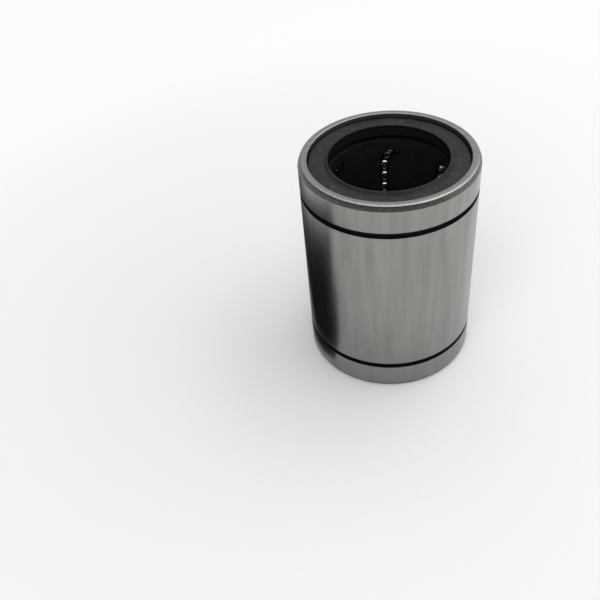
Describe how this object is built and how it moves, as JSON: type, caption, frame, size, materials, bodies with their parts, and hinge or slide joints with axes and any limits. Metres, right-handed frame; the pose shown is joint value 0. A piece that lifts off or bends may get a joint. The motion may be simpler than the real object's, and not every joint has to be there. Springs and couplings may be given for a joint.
{
  "type": "linear ball bushing",
  "caption": "Closed linear ball bushing: ground steel sleeve with outside ring grooves, moulded ball retainer, rubber end seals and recirculating steel balls.",
  "frame": {"origin": "centre of the lower end face, on the shaft's axis, so the bushing stands on z = 0", "axes": "+Z along the shaft's axis; the ball circuits stand at equal angles about it, the first loaded row 94 degrees from +X towards +Y"},
  "size_m": [0.06, 0.06, 0.08],
  "materials": {
    "ground_steel": "cylindrically ground, satin, with a rough turned rim",
    "black_resin": "moulded black resin, faint sheen",
    "seal_rubber": "matte dark grey rubber",
    "plated_steel": "plated washer, hidden",
    "spring_steel": "dark spring steel, hidden",
    "ball_steel": "mirror polished bearing balls"
  },
  "bodies": {
    "bushing": {"outer_sleeve": "ground_steel", "ball_retainer": "black_resin", "upper_retaining_ring": "spring_steel", "lower_retaining_ring": "spring_steel", "upper_seal": "seal_rubber", "lower_seal": "seal_rubber", "upper_seal_insert": "plated_steel", "lower_seal_insert": "plated_steel"},
    "circuit_1_load": {"circuit_1_load_row": "ball_steel"},
    "circuit_1_return": {"circuit_1_return_row": "ball_steel"},
    "circuit_1_upper": {"circuit_1_upper_turn": "ball_steel"},
    "circuit_1_lower": {"circuit_1_lower_turn": "ball_steel"},
    "circuit_2_load": {"circuit_2_load_row": "ball_steel"},
    "circuit_2_return": {"circuit_2_return_row": "ball_steel"},
    "circuit_2_upper": {"circuit_2_upper_turn": "ball_steel"},
    "circuit_2_lower": {"circuit_2_lower_turn": "ball_steel"},
    "circuit_3_load": {"circuit_3_load_row": "ball_steel"},
    "circuit_3_return": {"circuit_3_return_row": "ball_steel"},
    "circuit_3_upper": {"circuit_3_upper_turn": "ball_steel"},
    "circuit_3_lower": {"circuit_3_lower_turn": "ball_steel"},
    "circuit_4_load": {"circuit_4_load_row": "ball_steel"},
    "circuit_4_return": {"circuit_4_return_row": "ball_steel"},
    "circuit_4_upper": {"circuit_4_upper_turn": "ball_steel"},
    "circuit_4_lower": {"circuit_4_lower_turn": "ball_steel"},
    "circuit_5_load": {"circuit_5_load_row": "ball_steel"},
    "circuit_5_return": {"circuit_5_return_row": "ball_steel"},
    "circuit_5_upper": {"circuit_5_upper_turn": "ball_steel"},
    "circuit_5_lower": {"circuit_5_lower_turn": "ball_steel"},
    "circuit_6_load": {"circuit_6_load_row": "ball_steel"},
    "circuit_6_return": {"circuit_6_return_row": "ball_steel"},
    "circuit_6_upper": {"circuit_6_upper_turn": "ball_steel"},
    "circuit_6_lower": {"circuit_6_lower_turn": "ball_steel"}
  },
  "joints": [
    {"name": "circuit_1_roll", "type": "slide", "parent": "bushing", "child": "circuit_1_load", "axis": [0, 0, 1], "range_m": [-0.00368, 0.00104]},
    {"name": "circuit_1_return_roll", "type": "slide", "parent": "bushing", "child": "circuit_1_return", "axis": [0, 0, -1], "range_m": [-0.00369, 0.00105]},
    {"name": "circuit_1_upper_turn_roll", "type": "hinge", "parent": "bushing", "child": "circuit_1_upper", "pos_m": [0.00316, 0.02246, 0.0637], "axis": [-0.0288, 0.9987, -0.0424], "range_deg": [-46.9, 13.3]},
    {"name": "circuit_1_lower_turn_roll", "type": "hinge", "parent": "bushing", "child": "circuit_1_lower", "pos_m": [0.00316, 0.02246, 0.0163], "axis": [-0.0288, 0.9987, 0.0424], "range_deg": [-46.9, 13.3]},
    {"name": "circuit_2_roll", "type": "slide", "parent": "bushing", "child": "circuit_2_load", "axis": [0, 0, 1], "range_m": [-0.0008, 0.00392]},
    {"name": "circuit_2_return_roll", "type": "slide", "parent": "bushing", "child": "circuit_2_return", "axis": [0, 0, -1], "range_m": [-0.00081, 0.00393]},
    {"name": "circuit_2_upper_turn_roll", "type": "hinge", "parent": "bushing", "child": "circuit_2_upper", "pos_m": [-0.01787, 0.01396, 0.0637], "axis": [-0.8793, 0.4744, -0.0424], "range_deg": [-10.3, 49.9]},
    {"name": "circuit_2_lower_turn_roll", "type": "hinge", "parent": "bushing", "child": "circuit_2_lower", "pos_m": [-0.01787, 0.01396, 0.0163], "axis": [-0.8793, 0.4744, 0.0424], "range_deg": [-10.3, 49.9]},
    {"name": "circuit_3_roll", "type": "slide", "parent": "bushing", "child": "circuit_3_load", "axis": [0, 0, 1], "range_m": [-0.00293, 0.00179]},
    {"name": "circuit_3_return_roll", "type": "slide", "parent": "bushing", "child": "circuit_3_return", "axis": [0, 0, -1], "range_m": [-0.00294, 0.0018]},
    {"name": "circuit_3_upper_turn_roll", "type": "hinge", "parent": "bushing", "child": "circuit_3_upper", "pos_m": [-0.02103, -0.0085, 0.0637], "axis": [-0.8505, -0.5242, -0.0424], "range_deg": [-37.3, 22.9]},
    {"name": "circuit_3_lower_turn_roll", "type": "hinge", "parent": "bushing", "child": "circuit_3_lower", "pos_m": [-0.02103, -0.0085, 0.0163], "axis": [-0.8505, -0.5242, 0.0424], "range_deg": [-37.3, 22.9]},
    {"name": "circuit_4_roll", "type": "slide", "parent": "bushing", "child": "circuit_4_load", "axis": [0, 0, 1], "range_m": [-0.00142, 0.0033]},
    {"name": "circuit_4_return_roll", "type": "slide", "parent": "bushing", "child": "circuit_4_return", "axis": [0, 0, -1], "range_m": [-0.00143, 0.00331]},
    {"name": "circuit_4_upper_turn_roll", "type": "hinge", "parent": "bushing", "child": "circuit_4_upper", "pos_m": [-0.00316, -0.02246, 0.0637], "axis": [0.0288, -0.9987, -0.0424], "range_deg": [-18.1, 42.1]},
    {"name": "circuit_4_lower_turn_roll", "type": "hinge", "parent": "bushing", "child": "circuit_4_lower", "pos_m": [-0.00316, -0.02246, 0.0163], "axis": [0.0287, -0.9987, 0.0424], "range_deg": [-18.1, 42.1]},
    {"name": "circuit_5_roll", "type": "slide", "parent": "bushing", "child": "circuit_5_load", "axis": [0, 0, 1], "range_m": [-0.00425, 0.00047]},
    {"name": "circuit_5_return_roll", "type": "slide", "parent": "bushing", "child": "circuit_5_return", "axis": [0, 0, -1], "range_m": [-0.00426, 0.00048]},
    {"name": "circuit_5_upper_turn_roll", "type": "hinge", "parent": "bushing", "child": "circuit_5_upper", "pos_m": [0.01787, -0.01396, 0.0637], "axis": [0.8793, -0.4744, -0.0424], "range_deg": [-54.1, 6.1]},
    {"name": "circuit_5_lower_turn_roll", "type": "hinge", "parent": "bushing", "child": "circuit_5_lower", "pos_m": [0.01787, -0.01396, 0.0163], "axis": [0.8793, -0.4744, 0.0424], "range_deg": [-54.1, 6.1]},
    {"name": "circuit_6_roll", "type": "slide", "parent": "bushing", "child": "circuit_6_load", "axis": [0, 0, 1], "range_m": [-0.00283, 0.00189]},
    {"name": "circuit_6_return_roll", "type": "slide", "parent": "bushing", "child": "circuit_6_return", "axis": [0, 0, -1], "range_m": [-0.00284, 0.0019]},
    {"name": "circuit_6_upper_turn_roll", "type": "hinge", "parent": "bushing", "child": "circuit_6_upper", "pos_m": [0.02103, 0.0085, 0.0637], "axis": [0.8505, 0.5242, -0.0424], "range_deg": [-36.1, 24.1]},
    {"name": "circuit_6_lower_turn_roll", "type": "hinge", "parent": "bushing", "child": "circuit_6_lower", "pos_m": [0.02103, 0.0085, 0.0163], "axis": [0.8505, 0.5242, 0.0424], "range_deg": [-36.1, 24.1]}
  ],
  "couplings": [
    {"joint": "circuit_1_return_roll", "follows": "circuit_1_roll", "ratio": 1},
    {"joint": "circuit_1_upper_turn_roll", "follows": "circuit_1_roll", "rad_per_m": 221.86},
    {"joint": "circuit_1_lower_turn_roll", "follows": "circuit_1_roll", "rad_per_m": 221.86},
    {"joint": "circuit_2_return_roll", "follows": "circuit_2_roll", "ratio": 1},
    {"joint": "circuit_2_upper_turn_roll", "follows": "circuit_2_roll", "rad_per_m": 221.86},
    {"joint": "circuit_2_lower_turn_roll", "follows": "circuit_2_roll", "rad_per_m": 221.86},
    {"joint": "circuit_3_return_roll", "follows": "circuit_3_roll", "ratio": 1},
    {"joint": "circuit_3_upper_turn_roll", "follows": "circuit_3_roll", "rad_per_m": 221.86},
    {"joint": "circuit_3_lower_turn_roll", "follows": "circuit_3_roll", "rad_per_m": 221.86},
    {"joint": "circuit_4_return_roll", "follows": "circuit_4_roll", "ratio": 1},
    {"joint": "circuit_4_upper_turn_roll", "follows": "circuit_4_roll", "rad_per_m": 221.86},
    {"joint": "circuit_4_lower_turn_roll", "follows": "circuit_4_roll", "rad_per_m": 221.86},
    {"joint": "circuit_5_return_roll", "follows": "circuit_5_roll", "ratio": 1},
    {"joint": "circuit_5_upper_turn_roll", "follows": "circuit_5_roll", "rad_per_m": 221.86},
    {"joint": "circuit_5_lower_turn_roll", "follows": "circuit_5_roll", "rad_per_m": 221.86},
    {"joint": "circuit_6_return_roll", "follows": "circuit_6_roll", "ratio": 1},
    {"joint": "circuit_6_upper_turn_roll", "follows": "circuit_6_roll", "rad_per_m": 221.86},
    {"joint": "circuit_6_lower_turn_roll", "follows": "circuit_6_roll", "rad_per_m": 221.86}
  ]
}
